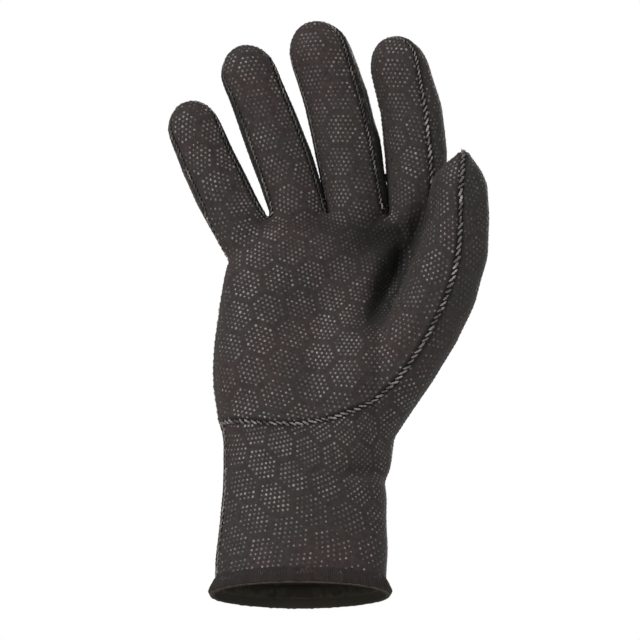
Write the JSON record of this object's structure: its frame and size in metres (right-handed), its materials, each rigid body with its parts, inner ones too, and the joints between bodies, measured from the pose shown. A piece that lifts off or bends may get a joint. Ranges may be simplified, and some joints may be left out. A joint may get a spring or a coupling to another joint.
{
  "type": "diving glove",
  "caption": "Right-hand five-finger diving glove of sewn foam rubber with a long cuff, standing hollow in the shape of the hand that wears it.",
  "frame": {"origin": "centre of the cuff's mouth, in the plane of its edge, where the hand goes in", "axes": "+Z from the mouth to the fingertips, -Y out of the palm, +X to the thumb's side"},
  "size_m": [0.1504, 0.0763, 0.2741],
  "materials": {
    "foam_sheet": "knitted face on foam rubber with a printed dot grip, matte",
    "foam_strip": "knitted face on foam rubber, matte",
    "binding_tape": "gathered stretch tape, matte"
  },
  "bodies": {
    "root": {"palm_panel": "foam_sheet", "back_panel": "foam_sheet", "fourchette_index_middle": "foam_strip", "fourchette_middle_ring": "foam_strip", "fourchette_ring_little": "foam_strip", "cuff_binding": "binding_tape"}
  },
  "joints": []
}
